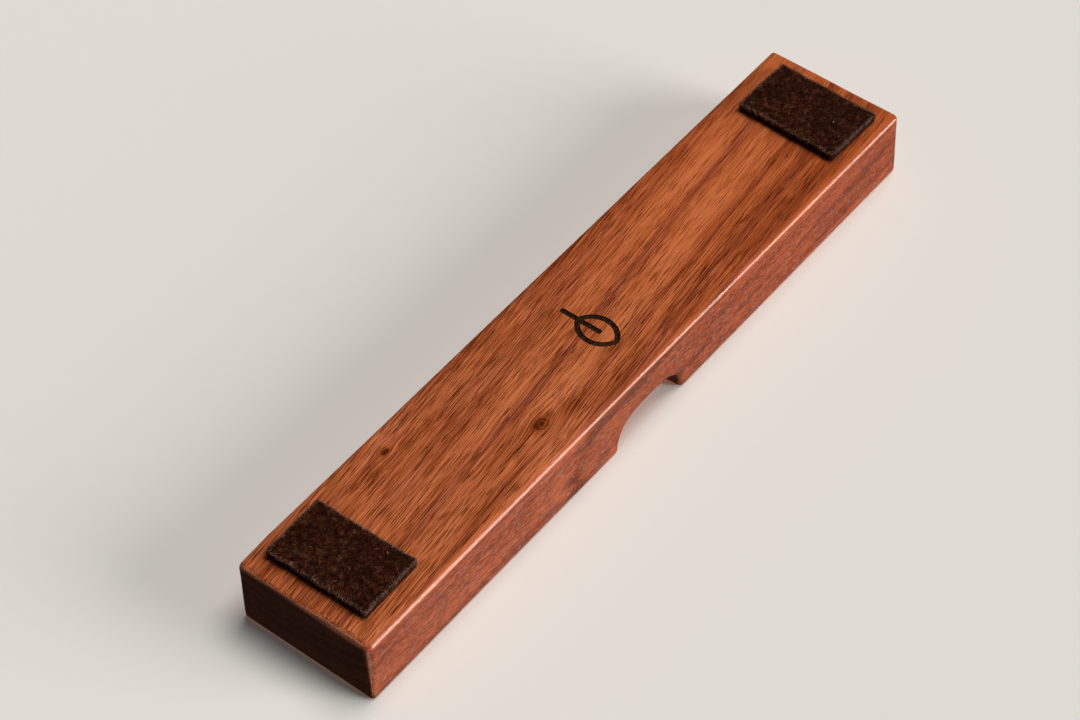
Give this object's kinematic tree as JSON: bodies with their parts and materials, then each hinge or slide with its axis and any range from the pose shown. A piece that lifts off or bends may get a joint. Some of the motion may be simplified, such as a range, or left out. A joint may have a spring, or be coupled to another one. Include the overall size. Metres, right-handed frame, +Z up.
{
  "type": "wrist rest",
  "caption": "Rectangular solid walnut wrist rest for a compact keyboard, with a rounded thumb notch in one long top edge, felt pads underneath and a small burnt leaf mark.",
  "frame": {"origin": "on the surface that the felt pads rest on, under the middle of the bar", "axes": "+X along the bar, +Y towards the keyboard, which is the side with the thumb notch, +Z up out of the palm face"},
  "size_m": [0.29, 0.055, 0.0314],
  "materials": {
    "walnut": "oiled, satin, straight grain along the bar",
    "felt": "matted fibres, dark brown, matte",
    "adhesive_film": "thin double-sided adhesive film"
  },
  "bodies": {
    "root": {"walnut_bar": "walnut", "felt_pad_left": "felt", "felt_pad_right": "felt", "adhesive_film_left": "adhesive_film", "adhesive_film_right": "adhesive_film"}
  },
  "joints": []
}
